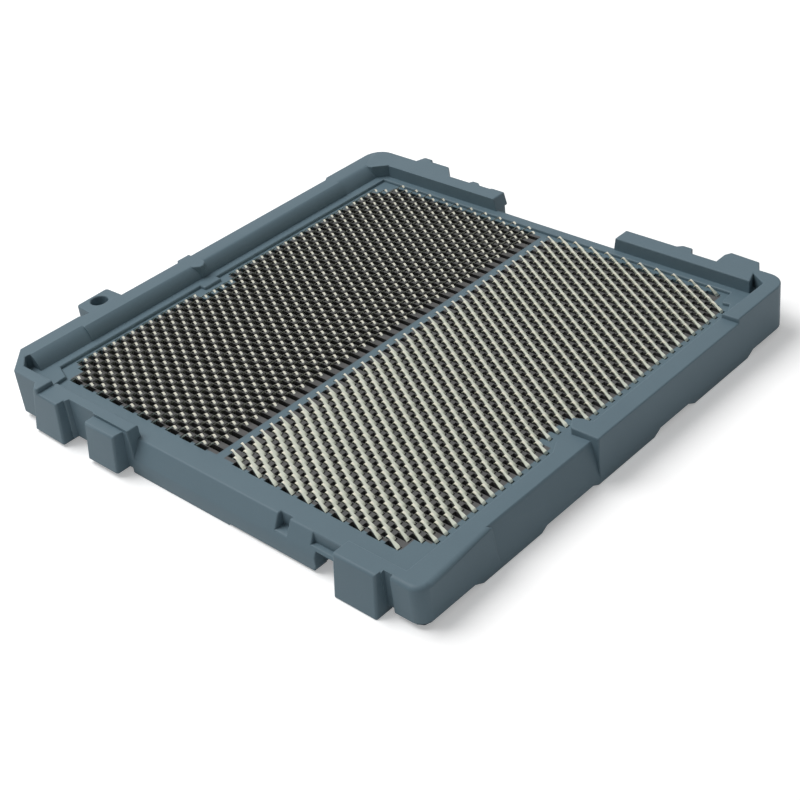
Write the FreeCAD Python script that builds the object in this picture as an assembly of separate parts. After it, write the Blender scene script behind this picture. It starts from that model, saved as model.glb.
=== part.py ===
import FreeCAD, Part
import math
import os

# Socket for a land-grid processor package, millimetres.
# Origin: centre of the package cavity on the plane of the moulded feet.
# +X to the right along the front wall, +Y to the back wall, +Z away from the board.

V = FreeCAD.Vector

# heights above the feet plane
UNDERSIDE = 0.40
LEFT_RIM = 0.14
FLOOR = 2.85
SHELF = FLOOR + 0.27
TALL_WALL = 4.25
WALL_RISE = TALL_WALL - SHELF
LOW_WALL = SHELF + 0.25 * WALL_RISE
LOW_BLOCK = SHELF + 0.44 * WALL_RISE
MID_WALL = SHELF + 0.66 * WALL_RISE
CONTACT_TIP = FLOOR + 0.60
ABOVE = TALL_WALL + 1.75

# contact lattice
PITCH_X = 0.94
PITCH_Y = 0.8128
FIRST_X = -18.33
FIRST_Y = 17.8816
RIB_ROW = 22
COLUMNS = 40
KEY_GAP = (15, 16, 17, 18)
ARM_REACH = 0.53
ARM_ROOT = 0.26
ARM_HALF_WIDTH = 0.18

# side faces of the body
FRONT_Y = -21.55
BACK_Y = 22.13
BACK_CORNER_Y = 22.42
INNER_BACK_Y = BACK_Y - 2.18
LEFT_X = -21.10
RIGHT_X = 21.07
BLOCK_X = -22.00
BACK_BLOCK_FOOT = 0.20
MIDDLE_BLOCK_FOOT = 0.35

# left side: open strip between the two runs of wall
STRIP_EDGE_X = -20.35
STRIP_BACK_Y = 6.75
STRIP_FRONT_Y = -14.40
STRIP_SLOPE_Z = 1.35

# finger cut-out of the right wall
FINGER_BACK_Y = 6.50
FINGER_FRONT_Y = -6.34
FINGER_EDGE_X = 19.70
FINGER_FOOT_Z = 1.50

# key near the middle of the front wall, where the wall changes height
KEY_X = -2.93
KEY_NOSE_Y = -18.52
TALL_FRONT_X = 14.40

# latch ear behind the back wall
EAR_HOLE = (-10.90, 22.93)
EAR_HOLE_RADIUS = 0.715
EAR_UNDERSIDE = TALL_WALL - 1.35


def outline(points, z):
    """Closed face through the points; a third number rounds that corner."""
    corners = [V(p[0], p[1], z) for p in points]
    count = len(corners)
    starts = []
    ends = []
    for i, p in enumerate(points):
        here = corners[i]
        radius = p[2] if len(p) > 2 else 0.0
        if radius == 0.0:
            starts.append(here)
            ends.append(here)
            continue
        back = (corners[i - 1] - here).normalize()
        ahead = (corners[(i + 1) % count] - here).normalize()
        half = back.getAngle(ahead) / 2.0
        run = radius / math.tan(half)
        starts.append(here + back * run)
        ends.append(here + ahead * run)
    edges = []
    for i, p in enumerate(points):
        if len(p) > 2:
            radius = p[2]
            inward = (starts[i] + ends[i]) * 0.5 - corners[i]
            half = (starts[i] - corners[i]).getAngle(inward)
            reach = radius / math.sin(half)
            middle = corners[i] + inward.normalize() * (reach - radius)
            edges.append(Part.Arc(starts[i], middle, ends[i]).toShape())
        following = starts[(i + 1) % count]
        if ends[i].distanceToPoint(following) > 1e-6:
            edges.append(Part.makeLine(ends[i], following))
    return Part.Face(Part.Wire(edges))


def slab(points, low, high):
    return outline(points, low).extrude(V(0, 0, high - low))


def tapered(low_points, low, high_points, high):
    """Block between two like outlines at different heights."""
    low_wire = outline(low_points, low).OuterWire
    high_wire = outline(high_points, high).OuterWire
    return Part.makeLoft([low_wire, high_wire], True, True)


def box(x0, x1, y0, y1, z0, z1):
    return Part.makeBox(x1 - x0, y1 - y0, z1 - z0, V(x0, y0, z0))


def along_y(points, y0, y1):
    """Profile in X and Z, run from y0 to y1."""
    wire = Part.makePolygon([V(x, y0, z) for x, z in points + points[:1]])
    return Part.Face(wire).extrude(V(0, y1 - y0, 0))


def along_x(points, x0, x1):
    """Profile in Y and Z, run from x0 to x1."""
    wire = Part.makePolygon([V(x0, y, z) for y, z in points + points[:1]])
    return Part.Face(wire).extrude(V(x1 - x0, 0, 0))


def body_outline():
    """Outer faces of the walls, from the front left corner round by the right."""
    front_left = [(LEFT_X - 0.05, FRONT_Y, 1.0)]
    front_right = [(RIGHT_X + 0.28, FRONT_Y, 1.5)]
    right = [
        (RIGHT_X + 0.28, -19.0), (RIGHT_X + 1.30, -18.36), (RIGHT_X + 1.42, -15.74),
        (RIGHT_X + 0.86, -15.42), (RIGHT_X - 0.32, -15.42), (RIGHT_X - 0.32, -13.1),
        (RIGHT_X + 0.36, -12.8), (RIGHT_X + 0.36, -11.9), (RIGHT_X, -11.5), (RIGHT_X, 7.9),
        (RIGHT_X - 0.15, 8.1), (RIGHT_X - 0.15, 9.2), (RIGHT_X + 0.18, 9.6), (RIGHT_X + 0.18, 10.25),
        (RIGHT_X - 0.22, 10.45), (RIGHT_X - 0.22, 12.6), (RIGHT_X + 1.13, 13.96),
        (RIGHT_X + 1.13, 16.15), (RIGHT_X + 1.51, 16.25), (RIGHT_X + 1.51, 17.2), (RIGHT_X + 0.61, 17.5),
    ]
    back = [
        (RIGHT_X + 0.61, BACK_CORNER_Y, 1.7), (14.8, BACK_CORNER_Y), (14.4, BACK_Y), (-1.70, BACK_Y),
        (-1.70, BACK_Y + 0.30), (-3.04, BACK_Y + 0.30), (-3.04, BACK_Y), (-13.1, BACK_Y),
        (-13.4, BACK_CORNER_Y), (-19.1, BACK_CORNER_Y),
    ]
    left = [
        (LEFT_X - 0.20, 20.2), (LEFT_X - 0.20, 13.9), (LEFT_X + 0.15, 13.8), (LEFT_X + 0.15, 10.9),
        (LEFT_X, 10.8), (LEFT_X, -18.4), (LEFT_X - 0.05, -18.5),
    ]
    return front_left + front_right + right + back + left


def left_blocks():
    """Three guide blocks of the left side, drafted a little outwards towards the board."""
    root = LEFT_X + 0.60
    back_low = [(root, 14.1), (BLOCK_X - 0.20, 14.1), (BLOCK_X - 0.10, 17.85), (root, 18.2)]
    back_high = [(root, 14.05), (BLOCK_X, 14.05), (BLOCK_X + 0.10, 16.9), (root, 18.2)]
    middle_low = [(root, 7.6), (BLOCK_X - 0.25, 7.6), (BLOCK_X - 0.25, 11.05), (root, 11.05)]
    middle_high = [(root, 7.35), (BLOCK_X, 7.35), (BLOCK_X, 10.75), (root, 10.75)]
    front_low = [(root, -18.3), (BLOCK_X - 0.05, -18.3), (BLOCK_X - 0.05, -14.4), (root, -14.4)]
    front_high = [(root, -18.2), (BLOCK_X + 0.40, -18.2), (BLOCK_X + 0.40, -14.4), (root, -14.4)]
    back = tapered(back_low, BACK_BLOCK_FOOT, back_high, TALL_WALL)
    middle = tapered(middle_low, MIDDLE_BLOCK_FOOT, middle_high, LOW_BLOCK)
    front = tapered(front_low, 0.0, front_high, LOW_WALL)
    return [back, middle, front]


def cavity_outline():
    """Inner faces of the walls, above the shelf."""
    return [
        (LEFT_X + 1.10, FRONT_Y + 2.10), (KEY_X, FRONT_Y + 2.10), (KEY_X, FRONT_Y + 1.55),
        (TALL_FRONT_X, FRONT_Y + 1.55), (TALL_FRONT_X + 0.40, FRONT_Y + 1.35),
        (RIGHT_X - 1.24, FRONT_Y + 1.31), (RIGHT_X - 0.41, FRONT_Y + 2.67),
        (RIGHT_X - 1.57, FRONT_Y + 2.26), (RIGHT_X - 1.57, INNER_BACK_Y), (LEFT_X + 1.60, INNER_BACK_Y),
        (LEFT_X + 0.70, INNER_BACK_Y - 0.05), (LEFT_X + 0.70, 16.45), (LEFT_X + 1.0, 16.45),
        (LEFT_X + 1.0, STRIP_BACK_Y),
    ]


def field_outline():
    """Edge of the sunken contact floor inside the shelf."""
    return [
        (-19.95, -19.4), (KEY_X - 0.05, -19.4), (-1.45, -19.3), (16.3, -19.3), (16.7, -19.15),
        (17.4, -18.8), (17.3, -18.2), (17.75, -18.05), (18.87, -17.95), (18.87, 19.16),
        (-1.7, 19.16), (-1.7, 18.55), (-3.5, 18.55), (-3.5, 19.16), (-17.95, 19.16),
        (-18.55, 17.6), (-20.05, 17.5), (-20.05, STRIP_BACK_Y),
    ]


def wall_scoop(x0, x1, top_y):
    """Concave inner face of the back wall, from the shelf to the wall's top."""
    lower = V(x0, INNER_BACK_Y, SHELF)
    middle = V(x0, INNER_BACK_Y - 0.15 + (top_y - INNER_BACK_Y) * 0.4, SHELF + 0.44 * WALL_RISE)
    upper = V(x0, top_y, TALL_WALL)
    inner_top = V(x0, INNER_BACK_Y - 0.95, TALL_WALL)
    inner_low = V(x0, INNER_BACK_Y - 0.95, SHELF)
    edges = [
        Part.Arc(lower, middle, upper).toShape(), Part.makeLine(upper, inner_top),
        Part.makeLine(inner_top, inner_low), Part.makeLine(inner_low, lower),
    ]
    return Part.Face(Part.Wire(edges)).extrude(V(x1 - x0, 0, 0))


def right_back_corner():
    """Slanting inner face where the back wall meets the right wall."""
    near = INNER_BACK_Y - 0.85
    far = INNER_BACK_Y + 1.25
    points = [
        (RIGHT_X - 2.67, far), (RIGHT_X - 2.52, INNER_BACK_Y + 0.25), (RIGHT_X - 1.42, near),
        (RIGHT_X - 0.97, near), (RIGHT_X - 0.97, far),
    ]
    return slab(points, FLOOR, TALL_WALL)


def left_corner_recess():
    points = [
        (LEFT_X + 0.70, INNER_BACK_Y - 0.95), (LEFT_X + 1.90, INNER_BACK_Y - 0.95),
        (LEFT_X + 1.90, INNER_BACK_Y + 1.05), (LEFT_X + 1.55, INNER_BACK_Y + 1.20),
        (LEFT_X + 0.70, INNER_BACK_Y + 0.15),
    ]
    return slab(points, SHELF, ABOVE)


def lowered_walls():
    """Everything above the walls that stop short of the full height."""
    outer = LEFT_X - 1.90
    inner = LEFT_X + 2.10
    before = FRONT_Y - 0.45
    strip = box(outer, inner, STRIP_FRONT_Y, STRIP_BACK_Y, FLOOR, ABOVE)
    behind_strip = box(outer, inner, STRIP_BACK_Y, STRIP_BACK_Y + 9.70, MID_WALL, ABOVE)
    low_block = box(outer, LEFT_X + 0.04, STRIP_BACK_Y + 0.25, STRIP_BACK_Y + 4.15, LOW_BLOCK, ABOVE)
    front_corner = box(outer, inner, before, STRIP_FRONT_Y, LOW_WALL, ABOVE)
    front_low = box(outer, KEY_X, before, FRONT_Y + 2.65, LOW_WALL, ABOVE)
    front_mid = box(KEY_X, TALL_FRONT_X, before, FRONT_Y + 3.15, MID_WALL, ABOVE)
    finger_profile = [
        (FINGER_FRONT_Y, SHELF), (FINGER_BACK_Y - 0.3, SHELF), (FINGER_BACK_Y, TALL_WALL),
        (FINGER_BACK_Y, ABOVE), (FINGER_FRONT_Y - 0.2, ABOVE), (FINGER_FRONT_Y - 0.2, TALL_WALL),
    ]
    finger = along_x(finger_profile, RIGHT_X - 3.07, RIGHT_X + 1.93)
    return [strip, behind_strip, low_block, front_corner, front_low, front_mid, finger]


def left_slope():
    outer = LEFT_X - 1.90
    profile = [(STRIP_EDGE_X, FLOOR), (LEFT_X, STRIP_SLOPE_Z), (outer, STRIP_SLOPE_Z), (outer, FLOOR)]
    return along_y(profile, STRIP_FRONT_Y, STRIP_BACK_Y)


def finger_scoop():
    """Hollow outer face below the finger cut-out."""
    top = V(FINGER_EDGE_X, FINGER_FRONT_Y, SHELF)
    middle = V(FINGER_EDGE_X + 0.35, FINGER_FRONT_Y, FINGER_FOOT_Z + 0.65)
    foot = V(RIGHT_X, FINGER_FRONT_Y, FINGER_FOOT_Z)
    outer_low = V(RIGHT_X + 1.93, FINGER_FRONT_Y, FINGER_FOOT_Z)
    outer_top = V(RIGHT_X + 1.93, FINGER_FRONT_Y, SHELF)
    edges = [
        Part.Arc(top, middle, foot).toShape(), Part.makeLine(foot, outer_low),
        Part.makeLine(outer_low, outer_top), Part.makeLine(outer_top, top),
    ]
    return Part.Face(Part.Wire(edges)).extrude(V(0, FINGER_BACK_Y - FINGER_FRONT_Y, 0))


def front_draft():
    """Slope of the low front wall, from its top edge out to the foot."""
    before = FRONT_Y - 1.45
    outside = [(before, UNDERSIDE), (before, LOW_WALL)]
    near_key = [(FRONT_Y + 0.65, LOW_WALL), (FRONT_Y, UNDERSIDE)] + outside
    step = [(FRONT_Y + 0.35, LOW_WALL), (FRONT_Y, UNDERSIDE)] + outside
    flush = [(FRONT_Y, LOW_WALL), (FRONT_Y - 0.05, UNDERSIDE)] + outside
    step_wire = Part.makePolygon([V(-13.7, y, z) for y, z in step + step[:1]])
    flush_wire = Part.makePolygon([V(-20.0, y, z) for y, z in flush + flush[:1]])
    near_corner = Part.makeLoft([step_wire, flush_wire], True, True)
    return along_x(near_key, -13.7, KEY_X).fuse(near_corner)


def front_key():
    points = [
        (KEY_X, FRONT_Y + 1.05), (KEY_X + 1.44, FRONT_Y + 1.05), (KEY_X + 1.44, KEY_NOSE_Y - 1.38),
        (KEY_X + 1.37, KEY_NOSE_Y - 0.71), (KEY_X + 1.0, KEY_NOSE_Y), (KEY_X + 0.30, KEY_NOSE_Y - 0.41),
        (KEY_X + 0.09, KEY_NOSE_Y - 0.57), (KEY_X, KEY_NOSE_Y - 0.78),
    ]
    nose = slab(points, FLOOR, MID_WALL)
    shoulder = [
        (KEY_X - 2.77, FRONT_Y + 1.95), (KEY_X, FRONT_Y + 1.95), (KEY_X, FRONT_Y + 2.35),
        (KEY_X - 1.47, FRONT_Y + 2.60),
    ]
    plateau = slab(shoulder, FLOOR, LOW_WALL)
    return nose.fuse(plateau)


def back_key():
    root = INNER_BACK_Y + 0.95
    points = [
        (-3.15, root), (-3.0, INNER_BACK_Y + 0.45), (-2.6, INNER_BACK_Y - 0.05),
        (-2.2, INNER_BACK_Y - 0.05), (-1.8, INNER_BACK_Y + 0.25), (-1.65, root),
    ]
    return slab(points, FLOOR, TALL_WALL)


def ear():
    x, y = EAR_HOLE
    left_end = (x - 1.57, y + 0.99, 0.3)
    right_end = (x + 1.60, y + 1.07, 0.3)
    points = [(x - 1.70, BACK_Y - 0.23), (x + 1.70, BACK_Y - 0.23), right_end, left_end]
    plate = slab(points, EAR_UNDERSIDE, TALL_WALL)
    depth = TALL_WALL - EAR_UNDERSIDE
    hole = Part.makeCylinder(EAR_HOLE_RADIUS, depth, V(x, y, EAR_UNDERSIDE))
    return plate.cut(hole)


def feet():
    """Stand-off feet under the rim; the contact fields' underside stays clear of the board."""
    shapes = []
    for x0, x1 in ((-15.4, -9.4), (-3.1, 3.5), (8.6, 15.7)):
        profile = [(x0, 0.0), (x1, 0.0), (x1 + 0.8, UNDERSIDE), (x0 - 0.8, UNDERSIDE)]
        shapes.append(along_y(profile, FRONT_Y, FRONT_Y + 1.35))
        shapes.append(along_y(profile, BACK_Y - 1.53, BACK_Y))
    side = [(-3.3, 0.0), (7.2, 0.0), (7.2, UNDERSIDE), (-3.6, UNDERSIDE)]
    shapes.append(along_x(side, LEFT_X, LEFT_X + 1.20))
    shapes.append(along_x(side, RIGHT_X - 1.17, RIGHT_X))
    shapes.append(box(LEFT_X, LEFT_X + 1.20, -11.8, -3.3, LEFT_RIM, UNDERSIDE))
    shapes.append(box(RIGHT_X - 0.87, RIGHT_X + 1.13, 14.0, 16.1, 0.0, UNDERSIDE))
    shapes.append(box(RIGHT_X - 0.87, RIGHT_X + 1.23, -18.3, -15.8, 0.0, UNDERSIDE))
    return shapes


def side_notches():
    """Gate slot and relief notches of the left side."""
    outer = LEFT_X - 0.20
    gate_slot = box(outer, LEFT_X + 1.05, -9.15, -8.05, 1.75, ABOVE)
    edge_recess = box(outer, STRIP_EDGE_X, STRIP_FRONT_Y, STRIP_FRONT_Y + 3.0, 2.0, ABOVE)
    under_notch = box(outer, LEFT_X + 1.50, STRIP_FRONT_Y, STRIP_FRONT_Y + 2.45, 0.0, 1.70)
    corner_groove = box(outer, LEFT_X + 0.25, -19.0, -18.3, 0.0, ABOVE)
    return [gate_slot, edge_recess, under_notch, corner_groove]


def housing():
    body = slab(body_outline(), UNDERSIDE, TALL_WALL).fuse(left_blocks())
    body = body.cut(slab(cavity_outline(), SHELF, ABOVE))
    body = body.cut(slab(field_outline(), FLOOR, ABOVE))
    thin_y = INNER_BACK_Y + 1.0
    thick_y = INNER_BACK_Y + 0.70
    scoops = [
        wall_scoop(LEFT_X + 1.60, -14.2, thin_y), wall_scoop(-14.2, 14.8, thick_y),
        wall_scoop(14.8, RIGHT_X - 1.42, thin_y),
    ]
    body = body.cut(scoops)
    body = body.cut([left_corner_recess(), left_slope(), front_draft(), finger_scoop()])
    body = body.cut(lowered_walls())
    body = body.cut(side_notches())
    body = body.fuse([right_back_corner(), front_key(), back_key(), ear()] + feet())
    return body.removeSplitter()


def columns_of(row):
    """Positions along X of the contacts in a row; the last rows are shorter at the corners and the keys."""
    from_edge = min(row, 2 * RIB_ROW - row)
    if from_edge % 2 == 0:
        start = FIRST_X
        columns = range(COLUMNS)
    else:
        start = FIRST_X - PITCH_X / 2
        columns = range(1, COLUMNS)
    if from_edge == 0:
        columns = [k for k in columns if 2 <= k <= COLUMNS - 3 and k not in KEY_GAP]
    if from_edge == 1:
        columns = [k for k in columns if 2 <= k <= COLUMNS - 2]
    return [start + PITCH_X * k for k in columns]


def contact(x, y, away):
    """Sprung arm: a root standing on the floor, leaning in to a raised tip."""
    near = y + away * ARM_REACH
    far = y + away * (ARM_REACH + ARM_ROOT)
    tip = V(x, y, CONTACT_TIP)
    left = V(x - ARM_HALF_WIDTH, far, FLOOR)
    right = V(x + ARM_HALF_WIDTH, far, FLOOR)
    front = V(x, near, FLOOR)
    faces = []
    for triangle in ((left, right, front), (left, right, tip), (right, front, tip), (front, left, tip)):
        faces.append(Part.Face(Part.makePolygon(list(triangle) + [triangle[0]])))
    solid = Part.Solid(Part.Shell(faces))
    if solid.Volume < 0:
        solid.reverse()
    return solid


def contact_row(row):
    y = FIRST_Y - PITCH_Y * row
    away = 1 if row < RIB_ROW else -1
    return Part.makeCompound([contact(x, y, away) for x in columns_of(row)])


os.makedirs("parts", exist_ok=True)
housing().exportStep("parts/socket_housing.step")
rows = [row for row in range(2 * RIB_ROW + 1) if row != RIB_ROW]
for number, row in enumerate(rows, start=1):
    contact_row(row).exportStep("parts/contact_row_%02d.step" % number)
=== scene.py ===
from math import radians

import bmesh
import bpy
import numpy as np
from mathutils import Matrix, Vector


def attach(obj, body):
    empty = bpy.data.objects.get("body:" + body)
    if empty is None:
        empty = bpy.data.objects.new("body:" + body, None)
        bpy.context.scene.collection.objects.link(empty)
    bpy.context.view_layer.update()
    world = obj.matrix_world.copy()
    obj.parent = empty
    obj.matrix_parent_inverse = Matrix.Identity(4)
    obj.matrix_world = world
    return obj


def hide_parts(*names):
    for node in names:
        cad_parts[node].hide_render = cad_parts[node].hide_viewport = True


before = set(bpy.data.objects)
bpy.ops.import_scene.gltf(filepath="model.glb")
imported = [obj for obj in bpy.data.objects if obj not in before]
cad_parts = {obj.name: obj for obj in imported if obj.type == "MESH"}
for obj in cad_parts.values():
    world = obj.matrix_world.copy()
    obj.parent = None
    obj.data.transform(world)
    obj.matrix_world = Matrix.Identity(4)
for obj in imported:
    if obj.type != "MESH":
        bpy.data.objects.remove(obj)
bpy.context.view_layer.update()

# The housing: one moulding in slate-grey, glass-filled plastic, with its walls, sunken floor and
# feet in one shot. Its edges leave the mould with a small round, and the floor between the walls
# is a lattice of narrow slots, one for each contact, in two fields that mirror about a rib.
MM = 0.001
PITCH_X = 0.94
PITCH_Y = 0.8128
FIRST_X = -18.33
FIRST_Y = 17.8816
RIB_ROW = 22
COLUMNS = 40
KEY_GAP = (15, 16, 17, 18)
FLOOR_Z = 2.85
SLOT_FOOT_Z = 1.95
SLOT_HALF_WIDTH = 0.20
CUTTER_TOP_Z = FLOOR_Z + 0.5
# a slot's ends, behind its contact's tip; it starts ahead of the tip, more so beside the rib
SLOT_START = -0.20
SLOT_END = 1.04
RIB_SLOT_START = -0.42
# where the floor is parted along each row, behind the tips
PARTING = 0.35
# rounds of the outward edges: general, guide blocks, soft front left corner, and the least one
EDGE_ROUND = 0.12
BLOCK_ROUND = 0.22
CORNER_ROUND = 0.40
LEAST_ROUND = 0.04
# share of a short edge that the round of the edge beside it may take
ROUND_SHARE = 0.45
# the least angle between two faces whose edge is rounded, and whose edge shades sharp
LEAST_ANGLE = radians(35)
SHARP_ANGLE = radians(40)
# places that tell the edges apart: the scooped face of the back wall lies behind SCOOP_Y, the outer
# part of the guide blocks left of BLOCK_X and above BLOCK_FOOT_Z, the tops of the walls above TOP_Z,
# and the inner edges of the groove beside the front left corner in the two ranges
SCOOP_Y = 19.9
BLOCK_X = -21.3
BLOCK_FOOT_Z = 0.5
TOP_Z = 3.3
GROOVE_X = (-21.0, -20.0)
GROOVE_Y = (-19.05, -18.0)
# ends of the soft corner's run of top edges, on the left side and on the front
SOFT_SIDE_X = -20.6
SOFT_FRONT_X = -13.0
SOFT_FRONT_Y = -21.0
# faces with more corners than this are split into convex ones before they are rounded
MANY_CORNERS = 60


def row_places(row):
    """Plan places of one row's contact tips, as an array of X and Y in millimetres: X is the first
    place plus whole pitches, moved half a pitch back on every second row, and the outermost rows
    lose their ends and the four places beside each key."""
    from_edge = min(row, 2 * RIB_ROW - row)
    k = np.arange(COLUMNS) if from_edge % 2 == 0 else np.arange(1, COLUMNS)
    if from_edge == 0:
        k = k[(k >= 2) & (k <= COLUMNS - 3) & ~np.isin(k, KEY_GAP)]
    if from_edge == 1:
        k = k[(k >= 2) & (k <= COLUMNS - 2)]
    x = FIRST_X - (from_edge % 2) * PITCH_X / 2 + PITCH_X * k
    return np.column_stack([x, np.full(len(x), FIRST_Y - PITCH_Y * row)])


def boxes(low, high):
    """Closed boxes between arrays of low and high corners: corner c of a box takes the high value
    on each axis whose bit is set in c, and six four-sided faces join the eight corners."""
    bits = (np.arange(8)[:, None] >> np.arange(3)) & 1
    points = low[:, None, :] * (1 - bits) + high[:, None, :] * bits
    sides = np.array([[0, 2, 3, 1], [4, 5, 7, 6], [0, 1, 5, 4], [2, 6, 7, 3], [0, 4, 6, 2], [1, 3, 7, 5]])
    faces = sides[None] + 8 * np.arange(len(low))[:, None, None]
    return points.reshape(-1, 3), faces.reshape(-1, 4)


def new_piece(name, points, faces):
    """Mesh object from points in millimetres and faces as rows of point numbers."""
    mesh = bpy.data.meshes.new(name)
    mesh.from_pydata((points * MM).tolist(), [], faces.tolist())
    mesh.validate()
    piece = bpy.data.objects.new(name, mesh)
    bpy.context.collection.objects.link(piece)
    return piece


contact_rows = [row for row in range(2 * RIB_ROW + 1) if row != RIB_ROW]
slot_low = []
slot_high = []
for row in contact_rows:
    places = row_places(row)
    away = 1.0 if row < RIB_ROW else -1.0
    beside_rib = abs(row - RIB_ROW) == 1
    begin = RIB_SLOT_START if beside_rib else SLOT_START
    near, far = np.sort(places[0, 1] + away * np.array([begin, SLOT_END]))
    count = len(places)
    left = places[:, 0] - SLOT_HALF_WIDTH
    right = places[:, 0] + SLOT_HALF_WIDTH
    slot_low.append(np.column_stack([left, np.full(count, near), np.full(count, SLOT_FOOT_Z)]))
    slot_high.append(np.column_stack([right, np.full(count, far), np.full(count, CUTTER_TOP_Z)]))
slot_points, slot_faces = boxes(np.concatenate(slot_low), np.concatenate(slot_high))
slot_cutter = new_piece("slot_cutter", slot_points, slot_faces)

housing = bpy.data.objects.new("housing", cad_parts["socket_housing"].data.copy())
bpy.context.collection.objects.link(housing)
stored_normals = housing.data.attributes.get("custom_normal")
if stored_normals:
    housing.data.attributes.remove(stored_normals)
moulding = bmesh.new()
moulding.from_mesh(housing.data)
bmesh.ops.remove_doubles(moulding, verts=moulding.verts, dist=1e-6)
bmesh.ops.dissolve_limit(moulding, angle_limit=radians(1.0), verts=moulding.verts, edges=moulding.edges)
large = [face for face in moulding.faces if len(face.verts) > MANY_CORNERS]
bmesh.ops.connect_verts_concave(moulding, faces=large)


def round_size(edge):
    """Round of an outward edge in millimetres, by where the edge's middle lies, and less where a
    short edge beside it leaves little room. An edge with no round has 0."""
    if not edge.is_convex or edge.calc_face_angle() < LEAST_ANGLE:
        return 0.0
    x, y, z = (edge.verts[0].co + edge.verts[1].co) / (2 * MM)
    at_top = z > TOP_Z
    on_scoop = y > SCOOP_Y and any(0.1 < abs(face.normal.z) < 0.95 for face in edge.link_faces)
    beside_groove = at_top and GROOVE_X[0] < x < GROOVE_X[1] and GROOVE_Y[0] < y < GROOVE_Y[1]
    if on_scoop or beside_groove:
        return 0.0
    # the top edges round the front left corner are one run and share one size
    soft_side = x < SOFT_SIDE_X
    soft_front = x < SOFT_FRONT_X and y < SOFT_FRONT_Y
    if at_top and y < GROOVE_Y[0] and (soft_side or soft_front):
        return CORNER_ROUND
    size = BLOCK_ROUND if x < BLOCK_X and z > BLOCK_FOOT_Z else EDGE_ROUND
    for end in edge.verts:
        along = (edge.other_vert(end).co - end.co).normalized()
        for beside in end.link_edges:
            reach = beside.other_vert(end).co - end.co
            if abs(along.dot(reach.normalized())) < 0.9:
                size = min(size, ROUND_SHARE * reach.length / MM)
    return size if size > LEAST_ROUND else 0.0


weight = moulding.edges.layers.float.new("bevel_weight_edge")
for edge in moulding.edges:
    edge[weight] = round_size(edge) / CORNER_ROUND
moulding.to_mesh(housing.data)
moulding.free()


def settled(piece):
    """Mesh of a piece with its modifiers applied; the piece keeps no modifier."""
    made = bpy.data.meshes.new_from_object(piece.evaluated_get(bpy.context.evaluated_depsgraph_get()))
    piece.modifiers.clear()
    piece.data = made
    return made


round_edges = housing.modifiers.new("round_edges", "BEVEL")
round_edges.width = CORNER_ROUND * MM
round_edges.segments = 3
round_edges.limit_method = "WEIGHT"
round_edges.use_clamp_overlap = False
rounded = settled(housing)

# the floor is first parted along a line through each row, so that no slot is a hole in a face
moulding = bmesh.new()
moulding.from_mesh(rounded)
floor = [
    face for face in moulding.faces
    if face.normal.z > 0.99 and abs(face.calc_center_median().z - FLOOR_Z * MM) < 1e-6
]
for row in contact_rows:
    away = 1.0 if row < RIB_ROW else -1.0
    line = (FIRST_Y - PITCH_Y * row + away * PARTING) * MM
    parts = set(floor)
    for face in floor:
        parts.update(face.edges)
        parts.update(face.verts)
    parted = bmesh.ops.bisect_plane(
        moulding, geom=list(parts), dist=1e-8, plane_co=(0, line, 0), plane_no=(0, 1, 0)
    )
    floor = [part for part in parted["geom"] if isinstance(part, bmesh.types.BMFace)]
moulding.to_mesh(rounded)
moulding.free()

slots = housing.modifiers.new("slots", "BOOLEAN")
slots.operation = "DIFFERENCE"
slots.solver = "MANIFOLD"
slots.object = slot_cutter
slotted = settled(housing)
bpy.data.objects.remove(slot_cutter)
slotted.shade_smooth()
slotted.set_sharp_from_angle(angle=SHARP_ANGLE)
even_shading = housing.modifiers.new("even_shading", "WEIGHTED_NORMAL")
even_shading.keep_sharp = True


class Shade:
    """A value in a material's nodes. Sums, differences and products of values add Math nodes, and
    node() adds any other node from its type, its settings and what goes into its sockets."""

    def __init__(self, tree, socket=None):
        self.tree = tree
        self.socket = socket

    def node(self, kind, settings, sockets, out=0):
        made = self.tree.nodes.new(kind)
        for name, value in settings.items():
            setattr(made, name, value)
        for name, value in sockets.items():
            if isinstance(value, Shade):
                self.tree.links.new(value.socket, made.inputs[name])
            else:
                made.inputs[name].default_value = value
        return Shade(self.tree, made.outputs[out])

    def maths(self, operation, first, second):
        return self.node("ShaderNodeMath", {"operation": operation}, {0: first, 1: second})

    def __add__(self, other):
        return self.maths("ADD", self, other)

    def __radd__(self, other):
        return self.maths("ADD", other, self)

    def __sub__(self, other):
        return self.maths("SUBTRACT", self, other)

    def __rsub__(self, other):
        return self.maths("SUBTRACT", other, self)

    def __mul__(self, other):
        return self.maths("MULTIPLY", self, other)

    def __rmul__(self, other):
        return self.maths("MULTIPLY", other, self)


def finish_named(name):
    """Empty material, and its first value."""
    material = bpy.data.materials.new(name)
    material.use_nodes = True
    material.node_tree.nodes.clear()
    start = Shade(material.node_tree)
    return material, start


def surface(start, sockets):
    """Principled surface on the material's output."""
    shader = start.node("ShaderNodeBsdfPrincipled", {}, sockets)
    output = start.tree.nodes.new("ShaderNodeOutputMaterial")
    start.tree.links.new(shader.socket, output.inputs["Surface"])


PLASTIC = (0.095, 0.147, 0.180, 1.0)
PLASTIC_PALE = (0.122, 0.183, 0.218, 1.0)
# painted shade for the floor between the springs, warmed by a painted reflection of the springs
FIELD_SHADE = (0.073, 0.075, 0.077, 1.0)
FIELD_SHADE_PALE = (0.108, 0.105, 0.104, 1.0)
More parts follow.
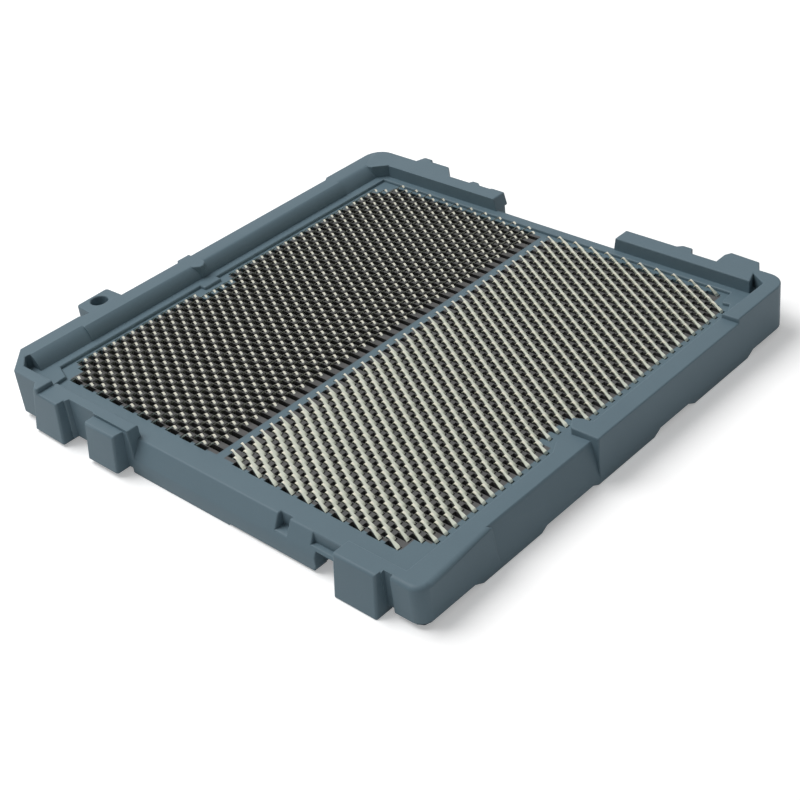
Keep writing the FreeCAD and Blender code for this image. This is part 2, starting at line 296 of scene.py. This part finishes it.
# reach of the two fields from the origin: most rows, and the shorter rows at the front and back
FIELD_X = 18.30
FIELD_Y = 17.35
END_ROWS_X = 16.75
END_ROWS_Y = 18.55
RIB_HALF_WIDTH = 0.32
KEY_X = -2.7
KEY_HALF_WIDTH = 1.75
plastic, start = finish_named("housing_plastic")
place = start.node("ShaderNodeTexCoord", {}, {}, "Object")
cloud = start.node("ShaderNodeTexNoise", {}, {"Vector": place, "Scale": 260.0, "Detail": 3.0})
speck = start.node("ShaderNodeTexNoise", {}, {"Vector": place, "Scale": 5200.0, "Detail": 2.0})
flow_place = start.node("ShaderNodeMapping", {}, {"Vector": place, "Scale": (1.0, 0.12, 1.0)})
flow = start.node("ShaderNodeTexNoise", {}, {"Vector": flow_place, "Scale": 900.0, "Detail": 4.0})
mottle = cloud * 0.5 + speck * 0.35 + flow * 0.15
tone = start.node(
    "ShaderNodeMix", {"data_type": "RGBA"}, {0: mottle, 6: PLASTIC, 7: PLASTIC_PALE}, 2
)
# inside the two fields the floor is painted darker and warmer: painted shade between the plated springs,
# and a painted warm reflection of them
along = start.node("ShaderNodeSeparateXYZ", {}, {"Vector": place}, 0)
across = Shade(start.tree, along.socket.node.outputs[1])
height = Shade(start.tree, along.socket.node.outputs[2])


def within(value, reach, soft=0.12):
    """1 where the value, in metres, is within the reach in millimetres of zero, else 0, with a
    smooth step as wide as the soft length."""
    size = value.node("ShaderNodeMath", {"operation": "ABSOLUTE"}, {0: value})
    return value.node("ShaderNodeMapRange", {"interpolation_type": "SMOOTHSTEP"}, {
        "Value": size, "From Min": (reach + soft) * MM, "From Max": reach * MM,
        "To Min": 0.0, "To Max": 1.0,
    })


wide = within(along, FIELD_X) * within(across, FIELD_Y)
narrow = within(along, END_ROWS_X) * within(across, END_ROWS_Y) * (1.0 - within(across, FIELD_Y))
at_key = within(along - KEY_X * MM, KEY_HALF_WIDTH)
low_down = within(height, FLOOR_Z + 0.01, 0.02)
# where the painted shade and reflection go: the floor of the fields, not the rib and not the key
field_shade_mask = (wide + narrow * (1.0 - at_key)) * low_down * (1.0 - within(across, RIB_HALF_WIDTH))
field_shade_tone = start.node(
    "ShaderNodeMix", {"data_type": "RGBA"}, {0: mottle, 6: FIELD_SHADE, 7: FIELD_SHADE_PALE}, 2
)
tone = start.node("ShaderNodeMix", {"data_type": "RGBA"}, {0: field_shade_mask, 6: tone, 7: field_shade_tone}, 2)
grain = start.node(
    "ShaderNodeBump", {}, {"Height": speck * 0.7 + flow * 0.3, "Strength": 0.18, "Distance": 0.00003}
)
surface(start, {
    "Base Color": tone, "Roughness": 0.44 + 0.16 * speck, "Specular IOR Level": 0.28, "Normal": grain,
})

housing.data.materials.clear()
housing.data.materials.append(plastic)
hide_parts("socket_housing")
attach(housing, "root")

# The contacts: stamped springs of plated copper alloy, pressed into the slots. Each is a flat
# strip that stands in its slot, bends over into an arm that leans towards the middle rib, narrows
# to a neck and ends in a small wider tip, curled down, that the package presses on.
STRIP_THICKNESS = 0.07
# along the strip from its foot: distance behind the tip, height, half width
STRIP_LINE = np.array([
    [0.88, 1.95, 0.14],
    [0.88, 2.58, 0.15],
    [0.86, 2.80, 0.17],
    [0.74, 2.95, 0.17],
    [0.48, 3.14, 0.12],
    [0.22, 3.34, 0.070],
    [0.10, 3.42, 0.085],
    [0.00, 3.45, 0.10],
    [-0.15, 3.29, 0.10],
])


def spring_rows(places, away):
    """Strips at the places: each station of the line has four corners, half a width to either
    side along X and half a thickness to either side along the line's normal in Y and Z. Quads join
    each station to the next, and one quad closes each end."""
    line = STRIP_LINE[:, :2]
    along = np.gradient(line, axis=0)
    along /= np.linalg.norm(along, axis=1)[:, None]
    normal = np.column_stack([along[:, 1], -along[:, 0]]) * STRIP_THICKNESS / 2
    stations = len(line)
    side = np.array([-1.0, 1.0, 1.0, -1.0])
    face = np.array([-1.0, -1.0, 1.0, 1.0])
    x = side[None, :] * STRIP_LINE[:, 2:3]
    y = away * (line[:, :1] + face[None, :] * normal[:, :1])
    z = line[:, 1:] + face[None, :] * normal[:, 1:]
    one = np.stack([x, y, z], axis=2).reshape(-1, 3)
    ring = np.arange(4)
    step = 4 * np.arange(stations - 1)[:, None]
    ahead = (ring + 1) % 4
    quads = np.stack([step + ring, step + ahead, step + 4 + ahead, step + 4 + ring], axis=2)
    last = 4 * (stations - 1)
    quads = np.concatenate([quads.reshape(-1, 4), [[3, 2, 1, 0], last + ring]])
    if away > 0:
        quads = quads[:, ::-1]
    count = len(places)
    offset = np.column_stack([places, np.zeros(count)])
    points = one[None] + offset[:, None, :]
    faces = quads[None] + 4 * stations * np.arange(count)[:, None, None]
    return points.reshape(-1, 3), faces.reshape(-1, 4)


# heights between which the arm's plating turns into the polish of the tip
POLISH_FROM_Z = 3.33
POLISH_FULL_Z = 3.42
METAL = (0.48, 0.505, 0.42, 1.0)
METAL_PALE = (0.68, 0.71, 0.63, 1.0)
METAL_TIP = (0.69, 0.67, 0.57, 1.0)
plating, start = finish_named("contact_metal")
place = start.node("ShaderNodeTexCoord", {}, {}, "Object")
patch = start.node("ShaderNodeTexNoise", {}, {"Vector": place, "Scale": 700.0, "Detail": 2.0})
rub = start.node("ShaderNodeTexNoise", {}, {"Vector": place, "Scale": 9000.0, "Detail": 1.0})
tone = start.node("ShaderNodeMix", {"data_type": "RGBA"}, {0: patch, 6: METAL, 7: METAL_PALE}, 2)
# the tips are rubbed bright by the package that they press on
height = Shade(start.tree, start.node("ShaderNodeSeparateXYZ", {}, {"Vector": place}, 2).socket)
polish = start.node("ShaderNodeMapRange", {"interpolation_type": "SMOOTHSTEP"}, {
    "Value": height, "From Min": POLISH_FROM_Z * MM, "From Max": POLISH_FULL_Z * MM,
    "To Min": 0.0, "To Max": 1.0,
})
tone = start.node("ShaderNodeMix", {"data_type": "RGBA"}, {0: polish, 6: tone, 7: METAL_TIP}, 2)
rubbed = start.node("ShaderNodeBump", {}, {"Height": rub, "Strength": 0.15, "Distance": 0.00001})
surface(start, {
    "Base Color": tone, "Metallic": 1.0, "Roughness": 0.30 + 0.14 * rub - 0.06 * polish, "Normal": rubbed,
})

for number, row in enumerate(contact_rows, start=1):
    away = 1.0 if row < RIB_ROW else -1.0
    points, faces = spring_rows(row_places(row), away)
    springs = new_piece(f"contact_springs_{number:02d}", points, faces)
    springs.data.materials.append(plating)
    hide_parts(f"contact_row_{number:02d}")
    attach(springs, "root")

# The solder balls: one tin alloy ball under each contact, reflowed on to the contact's tail at the
# underside. They end a hair above the plane of the feet, which carry the housing.
BALL_RADIUS = 0.28
BALL_CENTRE_Z = 0.335
BALL_AROUND = 8
BALL_RINGS = 3


def ball_rows(places):
    """Low spheres at the places: ring r lies at the angle pi r / (rings + 1) from the top, with
    points evenly around it, and one point closes each pole."""
    tilt = np.pi * np.arange(1, BALL_RINGS + 1) / (BALL_RINGS + 1)
    turn = 2 * np.pi * np.arange(BALL_AROUND) / BALL_AROUND
    x = np.sin(tilt)[:, None] * np.cos(turn)
    y = np.sin(tilt)[:, None] * np.sin(turn)
    z = np.cos(tilt)[:, None] * np.ones(BALL_AROUND)
    rings = np.stack([x, y, z], axis=2).reshape(-1, 3)
    one = np.concatenate([rings, [[0, 0, 1], [0, 0, -1]]]) * BALL_RADIUS
    ring = np.arange(BALL_AROUND)
    ahead = (ring + 1) % BALL_AROUND
    faces = []
    for r in range(BALL_RINGS - 1):
        upper = BALL_AROUND * r
        lower = upper + BALL_AROUND
        faces += np.column_stack([upper + ring, lower + ring, lower + ahead, upper + ahead]).tolist()
    top = len(rings)
    last = BALL_AROUND * (BALL_RINGS - 1)
    faces += np.column_stack([np.full(BALL_AROUND, top), ring, ahead]).tolist()
    faces += np.column_stack([np.full(BALL_AROUND, top + 1), last + ahead, last + ring]).tolist()
    count = len(places)
    points = one[None] + np.column_stack([places, np.full(count, BALL_CENTRE_Z)])[:, None, :]
    every = [[p + i * len(one) for p in face] for i in range(count) for face in faces]
    return points.reshape(-1, 3), every


SOLDER = (0.62, 0.62, 0.63, 1.0)
SOLDER_DULL = (0.48, 0.48, 0.50, 1.0)
solder, start = finish_named("solder")
place = start.node("ShaderNodeTexCoord", {}, {}, "Object")
bloom = start.node("ShaderNodeTexNoise", {}, {"Vector": place, "Scale": 4000.0, "Detail": 3.0})
tone = start.node("ShaderNodeMix", {"data_type": "RGBA"}, {0: bloom, 6: SOLDER, 7: SOLDER_DULL}, 2)
frost = start.node("ShaderNodeBump", {}, {"Height": bloom, "Strength": 0.2, "Distance": 0.00002})
surface(start, {"Base Color": tone, "Metallic": 1.0, "Roughness": 0.30 + 0.2 * bloom, "Normal": frost})

ball_groups = {
    "solder_balls_back": contact_rows[:RIB_ROW],
    "solder_balls_front": contact_rows[RIB_ROW:],
}
for name, rows in ball_groups.items():
    places = np.concatenate([row_places(row) for row in rows])
    points, faces = ball_rows(places)
    mesh = bpy.data.meshes.new(name)
    mesh.from_pydata((points * MM).tolist(), [], faces)
    mesh.shade_smooth()
    mesh.materials.append(solder)
    balls = bpy.data.objects.new(name, mesh)
    bpy.context.collection.objects.link(balls)
    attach(balls, "root")

# The stage: a white sheet under the part, one large soft lamp overhead and somewhat behind, and an
# even pale world. The camera stands low in front of the left corner.
FLOOR_REACH = 4.0
SHEET_WHITE = (0.92, 0.92, 0.92, 1.0)
BLACK = (0.0, 0.0, 0.0, 1.0)
WHITE = (1.0, 1.0, 1.0, 1.0)
# the sheet's own glow near the part and far from it, and the distances where those begin
NEAR_GLOW = 0.30
FAR_GLOW = 0.80
NEAR = 0.10
FAR = 0.60
SKY_LIGHT = 0.24


def seen_directly(start):
    """1 for what the camera sees, straight or through a mirror-like or clear surface, else 0: the
    largest of the three ray kinds."""
    camera_ray = start.node("ShaderNodeLightPath", {}, {}, "Is Camera Ray")
    path = camera_ray.socket.node
    mirrored = camera_ray.maths("MAXIMUM", camera_ray, Shade(start.tree, path.outputs["Is Glossy Ray"]))
    return mirrored.maths("MAXIMUM", mirrored, Shade(start.tree, path.outputs["Is Transmission Ray"]))


sheet_points = np.array([[-1, -1, 0], [1, -1, 0], [1, 1, 0], [-1, 1, 0]]) * FLOOR_REACH / MM
sheet = new_piece("floor_sheet", sheet_points, np.array([[0, 1, 2, 3]]))
paper, start = finish_named("white_paper")
# what the camera sees of the glow makes up for the lamp's light, which fades away from the part
place = start.node("ShaderNodeTexCoord", {}, {}, "Object")
away_from_part = start.node("ShaderNodeVectorMath", {"operation": "LENGTH"}, {0: place}, "Value")
glow_strength = seen_directly(start) * start.node("ShaderNodeMapRange", {}, {
    "Value": away_from_part, "From Min": NEAR, "From Max": FAR, "To Min": NEAR_GLOW, "To Max": FAR_GLOW,
})
glow = start.node(
    "ShaderNodeMix", {"data_type": "RGBA"}, {0: glow_strength, 6: BLACK, 7: WHITE}, 2
)
surface(start, {
    "Base Color": SHEET_WHITE, "Roughness": 0.9, "Specular IOR Level": 0.0,
    "Emission Color": glow, "Emission Strength": 1.0,
})
sheet.data.materials.append(paper)


def soft_lamp(name, towards, distance, size, power):
    """Square area lamp that faces the middle of the part from a direction given as X, Y and Z."""
    direction = Vector(towards).normalized()
    lamp = bpy.data.lights.new(name, "AREA")
    lamp.shape = "SQUARE"
    lamp.size = size
    lamp.energy = power
    holder = bpy.data.objects.new(name, lamp)
    holder.location = direction * distance
    holder.rotation_euler = direction.to_track_quat("Z", "Y").to_euler()
    bpy.context.collection.objects.link(holder)


soft_lamp("lamp_overhead", (-0.17, 0.48, 0.86), 0.45, 0.30, 1.74)

world = bpy.data.worlds.new("pale_world")
bpy.context.scene.world = world
world.use_nodes = True
nodes = world.node_tree.nodes
nodes.clear()
sky = Shade(world.node_tree)
strength = SKY_LIGHT + (1.0 - SKY_LIGHT) * seen_directly(sky)
background = sky.node("ShaderNodeBackground", {}, {"Color": WHITE, "Strength": strength})
output = nodes.new("ShaderNodeOutputWorld")
world.node_tree.links.new(background.socket, output.inputs["Surface"])

camera_data = bpy.data.cameras.new("camera")
camera_data.lens = 70.03
camera_data.sensor_width = 36.0
camera_data.shift_x = -0.05
camera_data.shift_y = -0.0625
camera_data.clip_start = 0.005
camera = bpy.data.objects.new("camera", camera_data)
camera.location = (-0.0696374, -0.0742647, 0.0668245)
camera.rotation_euler = (radians(57.03485), radians(5.43040), radians(-48.46048))
bpy.context.collection.objects.link(camera)
bpy.context.scene.camera = camera
bpy.context.scene.view_settings.view_transform = "Standard"
